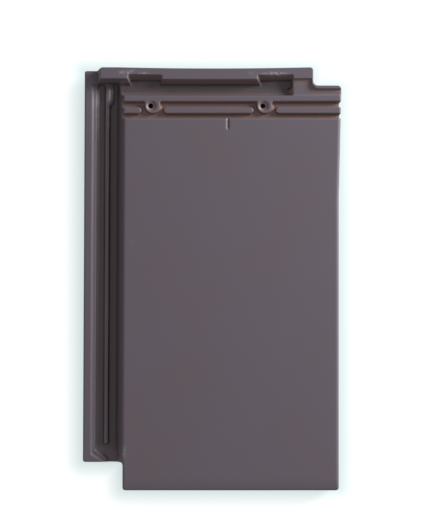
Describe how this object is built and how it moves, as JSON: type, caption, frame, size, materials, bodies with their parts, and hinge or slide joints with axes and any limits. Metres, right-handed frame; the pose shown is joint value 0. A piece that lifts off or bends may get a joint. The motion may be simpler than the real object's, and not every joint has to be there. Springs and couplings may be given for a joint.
{
  "type": "interlocking roof tile",
  "caption": "Flat clay roof tile with a side lock, head ribs, nail bosses and hanging nibs, laid face up in interlocking courses.",
  "frame": {"origin": "centre of the bounding box in plan, at the level of the foot ribs and nib ends", "axes": "+X from the side lock to the cover edge, +Y from the foot to the head, +Z out of the weathered face"},
  "size_m": [0.2834, 0.4626, 0.036],
  "materials": {
    "engobed_clay": "matt brown-grey engobe over fired clay"
  },
  "bodies": {
    "root": {"roof_tile": "engobed_clay"}
  },
  "joints": []
}
